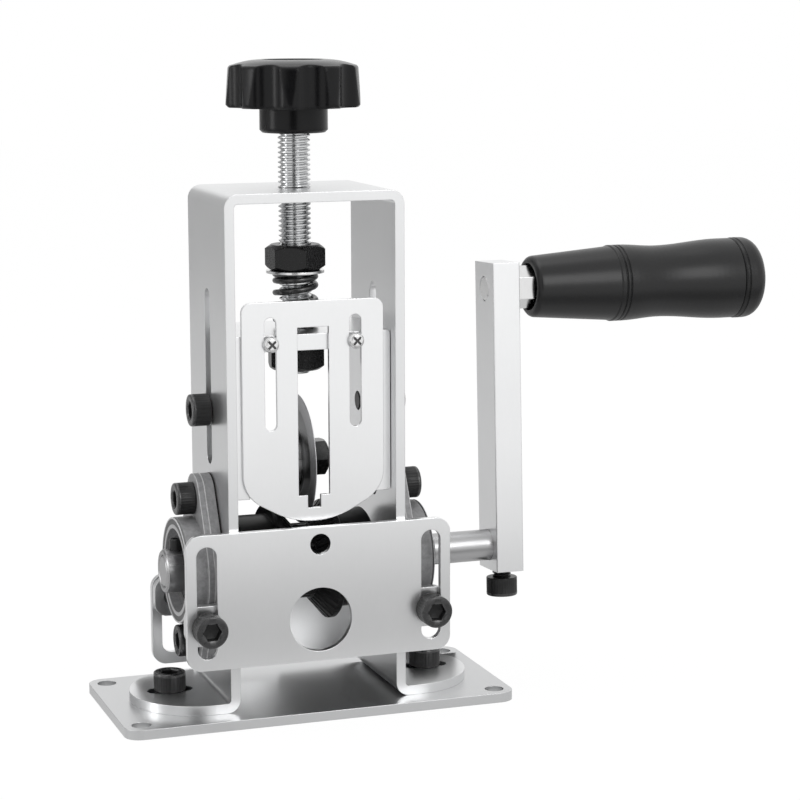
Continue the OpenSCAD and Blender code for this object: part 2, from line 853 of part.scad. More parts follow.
module arm_clamp_screw() {
    tip_z = shaft_z - shaft_r + shaft_flat - fit_gap;
    head_z = arm_bottom - clamp_head_gap;
    color("dimgray") on_crank()
        translate([arm_mid, 0, head_z]) rotate([180, 0, 0]) socket_screw(tip_z - head_z);
}

// Threaded end in the arm, hexagon, and the plain pin that the grip turns on
module grip_spindle() {
    hex_l = spindle_hex_end - arm_out;
    pin_end = grip_x + spindle_head_s;
    hex_corner = spindle_hex / sqrt(3);
    hex_edge = 0.7;
    edge = 0.5;
    color("silver") on_crank() translate([0, 0, spindle_z]) {
        translate([arm_in, 0, 0]) along_x() rotate_extrude() polygon([
            [0, 0], [spindle_r - edge, 0], [spindle_r, edge], [spindle_r, pin_end + slide_gap - arm_in],
            [spindle_head_r, pin_end + slide_gap - arm_in],
            [spindle_head_r, pin_end + slide_gap - arm_in + spindle_head_t],
            [0, pin_end + slide_gap - arm_in + spindle_head_t]
        ]);
        translate([arm_out + eps, 0, 0]) along_x() intersection() {
            rotate([0, 0, 180 / hex_sides]) hex_prism(spindle_hex, hex_l);
            rotate_extrude() polygon([
                [0, 0], [hex_corner - hex_edge, 0], [hex_corner + eps, hex_edge],
                [hex_corner + eps, hex_l - hex_edge], [hex_corner - hex_edge, hex_l], [0, hex_l]
            ]);
        }
    }
}

// Grip radius along its length: a straight neck, a ring, a waist and a swell
function ease(t) = (1 - cos(180 * t)) / 2;
function eased(s, s0, r0, s1, r1) = r0 + (r1 - r0) * ease((s - s0) / (s1 - s0));
function grip_r(s) =
    s < ring_s ? grip_neck_r + (ring_r - ring_step - grip_neck_r) * s / ring_s :
    s < ring_s + ring_l ? ring_r :
    s < waist_s ? eased(s, ring_s + ring_l, ring_r, waist_s, grip_waist_r) :
    s < swell_s ? eased(s, waist_s, grip_waist_r, swell_s, swell_r) :
    swell_r;

// Outline points of one fine groove round the grip, its middle at s
function grip_groove(s, r) = [
    [r, s - groove_w / 2], [r - groove_w / 2, s - groove_w / 8],
    [r - groove_w / 2, s + groove_w / 8], [r, s + groove_w / 2]
];

module grip_body() {
    nose = 1.8;
    nose_steps = 5;
    body_steps = 20;
    body_s = ring_s + ring_l;
    color(black) on_crank() translate([grip_x, 0, spindle_z]) along_x() rotate_extrude() polygon(concat(
        [[spindle_r + fit_gap, grip_recess], [recess_r, grip_recess], [recess_r, 0]],
        [
            for (i = [0 : nose_steps])
                let (a = 90 * i / nose_steps)
                [grip_r(nose) - nose + nose * sin(a), nose - nose * cos(a)]
        ],
        [[ring_r - ring_step, ring_s - ring_step], [ring_r, ring_s]],
        grip_groove(ring_s + ring_l - groove_w - groove_pitch, ring_r),
        grip_groove(ring_s + ring_l - groove_w, ring_r),
        [
            for (i = [0 : body_steps])
                let (s = body_s + (cap_joint - groove_w / 2 - body_s) * i / body_steps)
                [grip_r(s), s]
        ],
        [
            [swell_r - groove_w / 2, cap_joint], [cavity_r, cap_joint],
            [cavity_r, spindle_head_s], [spindle_r + fit_gap, spindle_head_s]
        ]
    ));
}

module grip_end_cap() {
    round_r = 4.5;
    dome = 1.5;
    steps = 8;
    flat_end = grip_l - dome;
    dome_r = grip_end_r - round_r;
    plug_r = cavity_r - fit_gap;
    color(black) on_crank() translate([grip_x, 0, spindle_z]) along_x() rotate_extrude() polygon(concat(
        [
            [0, cap_joint - cap_plug_l], [plug_r, cap_joint - cap_plug_l],
            [plug_r, cap_joint + eps], [swell_r - groove_w / 2, cap_joint + eps],
            [swell_r, cap_joint + groove_w / 2]
        ],
        grip_groove(cap_joint + groove_pitch, swell_r + ring_step / 2),
        [
            for (i = [0 : steps])
                let (a = 90 * i / steps)
                [dome_r + round_r * cos(a), flat_end - round_r + round_r * sin(a)]
        ],
        [
            for (i = [1 : steps])
                let (t = 1 - i / steps)
                [dome_r * t, grip_l - dome * t * t]
        ]
    ));
}

module lead_screw() {
    edge = 1;
    top = knob_head_z + screw_in_knob - knob_hub_h;
    color("silver") rotate_extrude() polygon([
        [0, screw_bottom], [screw_r - edge, screw_bottom], [screw_r, screw_bottom + edge],
        [screw_r, top - edge], [screw_r - edge, top], [0, top]
    ]);
}

// Lobed plan of the knob, each lobe running smoothly into the scallops beside it
module knob_outline() {
    lobe_at = knob_d / 2 - knob_lobe_r;
    floor_r = knob_d / 2 - knob_scallop;
    half_step = 180 / knob_lobes;
    scallop_r = (pow(floor_r, 2) + pow(lobe_at, 2) - 2 * floor_r * lobe_at * cos(half_step)
        - pow(knob_lobe_r, 2)) / (2 * (knob_lobe_r - floor_r + lobe_at * cos(half_step)));
    scallop_at = floor_r + scallop_r;
    scallop_centre = scallop_at * [cos(half_step), sin(half_step)];
    join_point = [lobe_at, 0] + towards([lobe_at, 0], scallop_centre) * knob_lobe_r;
    difference() {
        union() {
            circle(r = norm(join_point) + eps);
            for (i = [0 : knob_lobes - 1])
                rotate(2 * i * half_step) translate([lobe_at, 0]) circle(r = knob_lobe_r);
        }
        for (i = [0 : knob_lobes - 1])
            rotate((2 * i + 1) * half_step) translate([scallop_at, 0]) circle(r = scallop_r + eps);
    }
}

module adjusting_knob() {
    hub_r = knob_hub_d / 2;
    big_r = knob_d / 2;
    top_r = knob_top_d / 2;
    edge = 0.8;
    dish_r = 9.6;
    dish = 0.6;
    shoulder = 1.6;
    top_round = 1.2;
    rim_r = top_r - top_round;
    rim_z = knob_head_h - shoulder;
    round_steps = 5;
    dome_steps = 6;
    turned = 10.2;
    color(black) difference() {
        union() {
            translate([0, 0, knob_hub_z]) rotate_extrude() polygon([
                [0, 0], [hub_r - edge, 0], [hub_r, edge], [hub_r, knob_hub_h + edge], [0, knob_hub_h + edge]
            ]);
            intersection() {
                translate([0, 0, knob_head_z]) rotate([0, 0, turned])
                    linear_extrude(knob_head_h) knob_outline();
                translate([0, 0, knob_head_z]) rotate_extrude() polygon(concat(
                    [[0, 0], [big_r - edge, 0], [big_r, edge]],
                    [
                        for (i = [0 : round_steps - 1])
                            let (a = 90 * i / round_steps)
                            [rim_r + top_round * cos(a), rim_z - top_round * (1 - sin(a))]
                    ],
                    [
                        for (i = [0 : dome_steps])
                            let (t = i / dome_steps)
                            [rim_r - (rim_r - dish_r) * t, knob_head_h - shoulder * pow(1 - t, 2)]
                    ],
                    [[dish_r - dish / 2, knob_head_h - dish], [0, knob_head_h - dish]]
                ));
            }
        }
        translate([0, 0, knob_hub_z - over])
            cylinder(r = screw_r + fit_gap, h = screw_in_knob + over + fit_gap);
    }
}

// Nut on the lead screw, its underside at z
module screw_nut(z, turn) {
    color("dimgray") rotate([0, 0, turn]) translate([0, 0, z]) hex_nut(nut_af, nut_h, screw_r + fit_gap);
}

module upper_nut() {
    screw_nut(upper_nut_z + eps, upper_nut_turn);
}

module lower_nut() {
    screw_nut(lower_nut_z, lower_nut_turn);
}

module spring_washer() {
    color("silver") translate([0, 0, washer_z]) flat_washer(washer_d / 2, screw_r + 2 * fit_gap, washer_t);
}

// Centre line of the spring, closed down at both ends, with a short straight run at each tip
spring_steps = 12;
spring_start = -50;
near_turn = round(spring_steps * 0.7);
spring_rise = spring_l - spring_wire - 2 * fit_gap;
spring_close = spring_wire + 0.5;
spring_mid_pitch = (spring_rise - 2 * spring_close) / (spring_turns - 2);
function spring_height(t) =
    t < 1 ? spring_close * t :
    t > spring_turns - 1 ? spring_rise - spring_close * (spring_turns - t) :
    spring_close + spring_mid_pitch * (t - 1);
function spring_point(t) = [
    spring_mean_r * cos(360 * t + spring_start), spring_mean_r * sin(360 * t + spring_start),
    carriage_top + spring_wire / 2 + fit_gap + spring_height(t)
];
spring_count = round(spring_turns * spring_steps);
spring_coil = [for (i = [0 : spring_count]) spring_point(i / spring_steps)];
function tip_run(p, q) = p + towards(q, p) * spring_wire;
spring_path = concat(
    [tip_run(spring_coil[0], spring_coil[1])], spring_coil,
    [tip_run(spring_coil[spring_count], spring_coil[spring_count - 1])]
);
spring_self_gap = min([
    for (i = [0 : len(spring_path) - 1], j = [i + near_turn : 1 : len(spring_path) - 1])
        norm(spring_path[i] - spring_path[j])
]) - spring_wire;
echo(spring_self_gap = spring_self_gap);

// Ring of points round the wire where the centre line runs from p to q
function wire_ring(centre, p, q, sides) =
    let (
        along = towards(p, q),
        out = towards([0, 0, 0], [centre.x, centre.y, 0]),
        flat = out - along * (out * along),
        u = flat / norm(flat),
        v = cross(along, u)
    )
    [
        for (k = [0 : sides - 1])
            let (a = 360 * k / sides)
            centre + spring_wire / 2 * (u * cos(a) + v * sin(a))
    ];

module pressure_spring() {
    sides = 8;
    last = len(spring_path) - 1;
    rings = [
        for (i = [0 : last])
            each wire_ring(spring_path[i], spring_path[max(i - 1, 0)], spring_path[min(i + 1, last)], sides)
    ];
    walls = [
        for (i = [0 : last - 1], k = [0 : sides - 1])
            let (a = i * sides + k, b = i * sides + (k + 1) % sides)
            each [[a, a + sides, b], [b, a + sides, b + sides]]
    ];
    start_cap = [for (k = [1 : sides - 2]) [0, k, k + 1]];
    end_cap = [for (k = [1 : sides - 2]) [last * sides, last * sides + k + 1, last * sides + k]];
    color(black) polyhedron(points = rings, faces = concat(walls, start_cap, end_cap));
}

// Inverted channel that carries the blade, seen from the front
module carriage_outline() {
    inner_w = carriage_w - 2 * carriage_t;
    difference() {
        translate([0, carriage_bottom + carriage_h / 2])
            rounded_rect(carriage_w, carriage_h, carriage_edge);
        translate([-inner_w / 2, carriage_bottom - over])
            square([inner_w, carriage_h - carriage_t + over]);
    }
}

module blade_carriage() {
    color("gainsboro") difference() {
        upright_sheet(-carriage_d / 2, carriage_d) carriage_outline();
        translate([0, 0, carriage_top - carriage_t - over])
            cylinder(r = screw_clear_r, h = carriage_t + 2 * over);
        translate([-carriage_w, 0, axle_z]) along_x() cylinder(r = axle_r + fit_gap, h = 2 * carriage_w);
        translate([-carriage_w, 0, guide_z]) along_x() cylinder(r = m6_hole_r, h = 2 * carriage_w);
        for (x = [-1, 1] * guard_screw_spacing / 2)
            translate([x, -carriage_d / 2 - over, guard_screw_z]) rotate([-90, 0, 0])
                cylinder(r = m3_r + fit_gap, h = over + m3_l);
    }
}

module guide_screws() {
    color("dimgray") both_sides() translate([guide_head_x, 0, guide_z]) along_x() socket_screw(guide_screw_l);
}

// Cross recessed pan head screw, head towards the front
module pan_screw() {
    cross_w = 0.7;
    cross_l = 3.2;
    cross_deep = 0.8;
    edge = 1.2;
    edge_steps = 5;
    rotate([90, 0, 0]) difference() {
        rotate_extrude() polygon(concat(
            [[0, -m3_l + 1], [m3_r, -m3_l + 1], [m3_r, 0]],
            [
                for (i = [0 : edge_steps])
                    let (a = 90 * i / edge_steps)
                    [m3_head_r - edge + edge * cos(a), m3_head_h - edge + edge * sin(a)]
            ],
            [[0, m3_head_h]]
        ));
        for (a = [45, 135])
            rotate([0, 0, a]) translate([-cross_l / 2, -cross_w / 2, m3_head_h - cross_deep])
                cube([cross_l, cross_w, cross_deep + over]);
    }
}

module guard_screws() {
    color("silver") for (x = [-1, 1] * guard_screw_spacing / 2)
        translate([x, guard_y - slide_gap, guard_screw_z]) pan_screw();
}

// Shield shaped guard with its sight slot, blade notch and two adjusting slots
module guard_outline() {
    half = guard_w / 2;
    top = axle_z + guard_top;
    tip_corner = axle_z - guard_bottom - guard_tip_r * (1 / cos(guard_taper_angle) - 1);
    side_corner = tip_corner + half * tan(guard_taper_angle);
    difference() {
        rounded_outline(
            [[-half, top], [-half, side_corner], [0, tip_corner], [half, side_corner], [half, top]],
            [guard_top_r, guard_side_r, guard_tip_r, guard_side_r, guard_top_r]
        );
        translate([-sight_slot_w / 2, sight_slot_bottom])
            square([sight_slot_w, sight_slot_top - sight_slot_bottom]);
        translate([-notch_w / 2, axle_z - notch_depth])
            square([notch_w, sight_slot_bottom + over - axle_z + notch_depth]);
        for (x = [-1, 1] * guard_screw_spacing / 2)
            translate([x, 0]) slot_outline(guard_slot_w, guard_slot_bottom, guard_slot_top);
    }
}

module blade_guard() {
    color("whitesmoke") upright_sheet(guard_y, guard_t) guard_outline();
}

module cutting_blade() {
    half_t = blade_t / 2;
    color("slategray") translate([0, 0, axle_z]) along_x() rotate_extrude() polygon([
        [axle_r + fit_gap, -half_t], [blade_r - blade_bevel, -half_t], [blade_r, -blade_land / 2],
        [blade_r, blade_land / 2], [blade_r - blade_bevel, half_t], [axle_r + fit_gap, half_t]
    ]);
}

module blade_axle() {
    length = carriage_w;
    edge = 0.4;
    color("silver") translate([-length / 2, 0, axle_z]) along_x() rotate_extrude() polygon([
        [0, 0], [axle_r - edge, 0], [axle_r, edge], [axle_r, length - edge],
        [axle_r - edge, length], [0, length]
    ]);
}

module blade_washers() {
    color("silver") both_sides() translate([blade_t / 2 + eps, 0, axle_z]) along_x()
        flat_washer(blade_washer_r, axle_r + fit_gap, blade_washer_t);
}

module blade_nuts() {
    color("dimgray") both_sides() translate([blade_t / 2 + blade_washer_t + 2 * eps, 0, axle_z]) along_x()
        hex_nut(blade_nut_af, blade_nut_h, axle_r + fit_gap);
}

base_plate();
main_frame();
foot_screws();
left_bearing_housing();
right_bearing_housing();
bearing_bolts();
bearing_outer_rings();
bearing_seals();
bearing_balls();
front_plate_screws();
rear_plate_screws();
front_guide_plate();
rear_guide_plate();
drive_shaft();
drive_roller();
roller_grub_screws();
bearing_inner_rings();
collar_grub_screws();
crank_arm();
arm_clamp_screw();
grip_spindle();
grip_body();
grip_end_cap();
lead_screw();
adjusting_knob();
upper_nut();
lower_nut();
spring_washer();
pressure_spring();
blade_carriage();
guide_screws();
guard_screws();
blade_guard();
cutting_blade();
blade_axle();
blade_nuts();
blade_washers();
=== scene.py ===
"""Studio scene of a hand crank wire stripper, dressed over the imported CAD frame."""

import json
import math

import bpy
from mathutils import Matrix, Vector


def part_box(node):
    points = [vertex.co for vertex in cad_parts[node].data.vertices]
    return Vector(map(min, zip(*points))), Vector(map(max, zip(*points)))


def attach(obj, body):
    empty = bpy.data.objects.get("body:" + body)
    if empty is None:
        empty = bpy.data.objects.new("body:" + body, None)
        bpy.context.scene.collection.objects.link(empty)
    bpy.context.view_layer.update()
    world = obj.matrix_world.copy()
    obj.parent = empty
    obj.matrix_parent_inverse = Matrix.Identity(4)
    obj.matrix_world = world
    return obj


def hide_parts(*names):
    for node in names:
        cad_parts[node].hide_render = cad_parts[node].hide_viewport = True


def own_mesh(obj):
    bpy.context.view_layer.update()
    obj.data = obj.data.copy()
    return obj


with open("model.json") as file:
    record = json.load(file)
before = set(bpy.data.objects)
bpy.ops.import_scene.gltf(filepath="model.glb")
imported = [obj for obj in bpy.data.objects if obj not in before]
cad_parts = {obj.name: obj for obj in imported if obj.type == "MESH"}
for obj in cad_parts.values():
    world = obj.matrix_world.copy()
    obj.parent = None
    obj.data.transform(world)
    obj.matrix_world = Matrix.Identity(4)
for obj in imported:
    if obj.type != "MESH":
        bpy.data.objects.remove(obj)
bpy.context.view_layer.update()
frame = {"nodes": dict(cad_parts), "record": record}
bpy.context.scene.view_settings.view_transform = "Standard"

MM = 0.001
SIDES = ((-1, "left"), (1, "right"))
WHITE = (1.0, 1.0, 1.0, 1.0)

# ---------------------------------------------------------------- sizes in millimetres, as in the CAD
LEG_OUT = 28.25  # outer face of each leg
SHAFT_Z = 44.0  # axis of the drive shaft
AXLE_Z = 76.9  # axis of the blade
CRANK_ANGLE = math.radians(-2.8)  # lean of the crank at rest
M6_R, M6_HEAD_R, M6_HEAD_H, M6_PITCH = 3.0, 5.0, 6.0, 1.0
M6_SOCKET_AF, M6_SOCKET_DEPTH = 5.0, 3.0
M10_R, M10_PITCH = 5.0, 1.5

# ---------------------------------------------------------------- camera
IMAGE_SIZE = 800
CAMERA_FOCAL_PX = 2409.0
CAMERA_YAW, CAMERA_PITCH, CAMERA_ROLL = 0.3372, 0.1647, 0.0033  # radians
CAMERA_PLACE = Vector((-0.21467, -0.70980, 0.21819))
CAMERA_CLIP = (0.01, 20.0)
SENSOR_MM = 36.0


def make_camera():
    """Pinhole camera fitted to the photograph's base, frame and plate corners."""
    cos_yaw, sin_yaw = math.cos(CAMERA_YAW), math.sin(CAMERA_YAW)
    cos_pitch, sin_pitch = math.cos(CAMERA_PITCH), math.sin(CAMERA_PITCH)
    cos_roll, sin_roll = math.cos(CAMERA_ROLL), math.sin(CAMERA_ROLL)
    forward = Vector((sin_yaw * cos_pitch, cos_yaw * cos_pitch, -sin_pitch))
    level = Vector((cos_yaw, -sin_yaw, 0.0))
    down = forward.cross(level)
    right = level * cos_roll + down * sin_roll
    down = down * cos_roll - level * sin_roll
    turn = Matrix((right, -down, -forward)).transposed()
    data = bpy.data.cameras.new("camera")
    data.sensor_width = SENSOR_MM
    data.lens = CAMERA_FOCAL_PX * SENSOR_MM / IMAGE_SIZE
    data.clip_start, data.clip_end = CAMERA_CLIP
    camera = bpy.data.objects.new("camera", data)
    camera.matrix_world = Matrix.Translation(CAMERA_PLACE) @ turn.to_4x4()
    bpy.context.scene.collection.objects.link(camera)
    bpy.context.scene.camera = camera


# ---------------------------------------------------------------- shader nodes
EVEN_SCALE = (1.0, 1.0, 1.0)
RAMP_LOW, RAMP_HIGH = 0.3, 0.7  # the part of a noise's range that carries its change
BEVEL_SAMPLES = 6


def new_material(name):
    """Material with one Principled shader, and its tree and shader."""
    mat = bpy.data.materials.new(name)
    mat.use_nodes = True
    tree = mat.node_tree
    tree.nodes.clear()
    out = tree.nodes.new("ShaderNodeOutputMaterial")
    shader = tree.nodes.new("ShaderNodeBsdfPrincipled")
    tree.links.new(shader.outputs["BSDF"], out.inputs["Surface"])
    return mat, tree, shader


def matt_material(name, grey):
    """Plain matt ground of the floor or a card."""
    mat, tree, shader = new_material(name)
    shader.inputs["Base Color"].default_value = (grey, grey, grey, 1.0)
    shader.inputs["Roughness"].default_value = 0.9
    return mat, tree, shader.outputs[0]


def math_node(tree, operation, *values):
    """Result of a math node that is fed by sockets or plain numbers."""
    node = tree.nodes.new("ShaderNodeMath")
    node.operation = operation
    for socket, value in zip(node.inputs, values):
        if isinstance(value, float):
            socket.default_value = value
        else:
            tree.links.new(value, socket)
    return node.outputs[0]


def multiply(tree, first, second):
    """Product of two colours."""
    mix = tree.nodes.new("ShaderNodeMix")
    mix.data_type = "RGBA"
    mix.blend_type = "MULTIPLY"
    mix.inputs["Factor"].default_value = 1.0
    tree.links.new(first, mix.inputs["A"])
    tree.links.new(second, mix.inputs["B"])
    return mix.outputs["Result"]


def mix_to_output(tree, share, first, second):
    """Joins two shaders, the second by its share, to the tree's output."""
    mix = tree.nodes.new("ShaderNodeMixShader")
    out = next(node for node in tree.nodes if node.type.startswith("OUTPUT"))
    tree.links.new(share, mix.inputs["Fac"])
    tree.links.new(first, mix.inputs[1])
    tree.links.new(second, mix.inputs[2])
    tree.links.new(mix.outputs[0], out.inputs["Surface"])


def object_coords(tree, stretch=EVEN_SCALE):
    """Object coordinates in metres, scaled by stretch for grain that runs one way."""
    coords = tree.nodes.new("ShaderNodeTexCoord")
    mapping = tree.nodes.new("ShaderNodeMapping")
    mapping.inputs["Scale"].default_value = stretch
    tree.links.new(coords.outputs["Object"], mapping.inputs["Vector"])
    return mapping.outputs["Vector"]


def noise(tree, vector, scale, detail, rough):
    node = tree.nodes.new("ShaderNodeTexNoise")
    node.inputs["Scale"].default_value = scale
    node.inputs["Detail"].default_value = detail
    node.inputs["Roughness"].default_value = rough
    tree.links.new(vector, node.inputs["Vector"])
    return node.outputs["Fac"]


def colour_stops(tree, value, stops):
    """Colour ramp through (place, colour) stops."""
    node = tree.nodes.new("ShaderNodeValToRGB")
    elements = node.color_ramp.elements
    while len(elements) < len(stops):
        elements.new(0.5)
    for element, (place, colour) in zip(elements, stops):
        element.position = place
        element.color = (*colour, 1.0)
    tree.links.new(value, node.inputs["Fac"])
    return node.outputs["Color"]


def ramp(tree, value, low, high):
    """Ramp between two greys or two colours."""
    colours = [shade if isinstance(shade, tuple) else (shade, shade, shade) for shade in (low, high)]
    return colour_stops(tree, value, tuple(zip((RAMP_LOW, RAMP_HIGH), colours)))


def bump(tree, shader, value, strength, distance, edge):
    """Fine relief, over edges softened by the bevel shader."""
    node = tree.nodes.new("ShaderNodeBump")
    node.inputs["Strength"].default_value = strength
    node.inputs["Distance"].default_value = distance
    tree.links.new(value, node.inputs["Height"])
    if edge:
        bevel = tree.nodes.new("ShaderNodeBevel")
        bevel.samples = BEVEL_SAMPLES
        bevel.inputs["Radius"].default_value = edge
        tree.links.new(bevel.outputs["Normal"], node.inputs["Normal"])
    tree.links.new(node.outputs["Normal"], shader.inputs["Normal"])


def radial(tree, centre):
    """Distance from the X line through centre, and the angle round it, in object space."""
    coords = tree.nodes.new("ShaderNodeTexCoord")
    shift = tree.nodes.new("ShaderNodeVectorMath")
    shift.operation = "SUBTRACT"
    shift.inputs[1].default_value = centre
    tree.links.new(coords.outputs["Object"], shift.inputs[0])
    parts = tree.nodes.new("ShaderNodeSeparateXYZ")
    tree.links.new(shift.outputs[0], parts.inputs[0])
    flat = tree.nodes.new("ShaderNodeCombineXYZ")
    tree.links.new(parts.outputs["Y"], flat.inputs["Y"])
    tree.links.new(parts.outputs["Z"], flat.inputs["Z"])
    length = tree.nodes.new("ShaderNodeVectorMath")
    length.operation = "LENGTH"
    tree.links.new(flat.outputs[0], length.inputs[0])
    angle = math_node(tree, "ARCTAN2", parts.outputs["Y"], parts.outputs["Z"])
    return length.outputs["Value"], angle


# ---------------------------------------------------------------- materials
METAL_BUMP, COATED_BUMP = 0.00002, 0.00005  # depth of the relief in metres
RING_SCALE, ROUND_SCALE = 2600.0, 1.2  # turning marks: rings in a metre, changes in a radian
TURNED_EDGE = 0.0002


def scaled(colour, share):
    return tuple(c * share for c in colour)


def metal(name, colour, rough, grain, edge=0.0003, spread=0.04, relief=0.08, vary=0.15):
    """Worked metal: grain stretched along one axis in colour, roughness and relief."""
    mat, tree, shader = new_material(name)
    fine = noise(tree, object_coords(tree, grain), scale=1.0, detail=6.0, rough=0.65)
    cloud = noise(tree, object_coords(tree), scale=35.0, detail=3.0, rough=0.5)
    ground = ramp(tree, fine, scaled(colour, 1.0 - spread), colour)
    shade = multiply(tree, ground, ramp(tree, cloud, 0.97, 1.0))
    gloss = ramp(tree, fine, rough * (1.0 - vary), rough * (1.0 + vary))
    tree.links.new(shade, shader.inputs["Base Color"])
    tree.links.new(gloss, shader.inputs["Roughness"])
    shader.inputs["Metallic"].default_value = 1.0
    bump(tree, shader, fine, relief, METAL_BUMP, edge)
    return mat


def coated(name, colour, rough, scale, relief, edge=0.0003, specular=0.5):
    """Black oxide, plastic or casting: a fine even grain over a dark ground."""
    mat, tree, shader = new_material(name)
    grain = noise(tree, object_coords(tree), scale, detail=5.0, rough=0.6)
    ground = ramp(tree, grain, scaled(colour, 0.8), scaled(colour, 1.2))
    tree.links.new(ground, shader.inputs["Base Color"])
    tree.links.new(ramp(tree, grain, rough * 0.9, rough * 1.1), shader.inputs["Roughness"])
    shader.inputs["Specular IOR Level"].default_value = specular
    bump(tree, shader, grain, relief, COATED_BUMP, edge)
    return mat


def turned(name, colour, rough, centre, bands, spread=0.25, streak=0.0):
    """Turned or ground steel: rings round an X line, with bands of shade by radius in metres."""
    mat, tree, shader = new_material(name)
    distance, angle = radial(tree, centre)
    rings = tree.nodes.new("ShaderNodeCombineXYZ")
    tree.links.new(math_node(tree, "MULTIPLY", distance, RING_SCALE), rings.inputs["X"])
    tree.links.new(math_node(tree, "MULTIPLY", angle, ROUND_SCALE), rings.inputs["Y"])
    fine = noise(tree, rings.outputs[0], scale=1.0, detail=4.0, rough=0.6)
    reach = bands[-1][0]
    share = tree.nodes.new("ShaderNodeMapRange")
    share.inputs["From Max"].default_value = reach
    tree.links.new(distance, share.inputs["Value"])
    stops = [(radius / reach, scaled(colour, level)) for radius, level in bands]
    ground = colour_stops(tree, share.outputs["Result"], stops)
    shade = multiply(tree, ground, ramp(tree, fine, 1.0 - spread, 1.0))
    tree.links.new(shade, shader.inputs["Base Color"])
    tree.links.new(ramp(tree, fine, rough * 0.8, rough * 1.2), shader.inputs["Roughness"])
    shader.inputs["Metallic"].default_value = 1.0
    if streak:
        tangent = tree.nodes.new("ShaderNodeTangent")
        tangent.direction_type, tangent.axis = "RADIAL", "X"
        tree.links.new(tangent.outputs["Tangent"], shader.inputs["Tangent"])
        shader.inputs["Anisotropic"].default_value = streak
    bump(tree, shader, fine, 0.2, METAL_BUMP, TURNED_EDGE)
    return mat


SHAFT_LINE = (0.0, 0.0, SHAFT_Z * MM)
AXLE_LINE = (0.0, 0.0, AXLE_Z * MM)

# Bands of (radius in metres, level) on turned faces
EVEN = ((0.0, 1.0), (0.02, 1.0))
# Blade: painted shade darkens the hub inside 11.4 mm; painted highlights are a thin bright ring at 11.7
# mm and the bright bevel from 17.4 mm out
BLADE_SHADE_AND_HIGHLIGHT_BANDS = ((0.0, 0.5), (0.0114, 0.55), (0.0117, 1.7), (0.0121, 0.9), (0.0170, 0.8),
               (0.0174, 1.7), (0.0204, 2.1))
SHIELD_BANDS = ((0.0, 0.3), (0.0084, 0.3), (0.0087, 1.0), (0.0092, 1.0), (0.0095, 0.3),
                (0.0101, 0.3), (0.0103, 1.0), (0.0107, 1.0))

# Changes of the grain in a metre along X, Y and Z, fewest along its lines
SHEET_GRAIN = (1800.0, 1800.0, 400.0)
BAR_GRAIN = (1800.0, 1800.0, 200.0)
BASE_GRAIN = (300.0, 1500.0, 1500.0)
TURNED_GRAIN = (200.0, 900.0, 900.0)
DRAWN_GRAIN = (900.0, 200.0, 200.0)
FINE_GRAIN = (300.0, 300.0, 300.0)

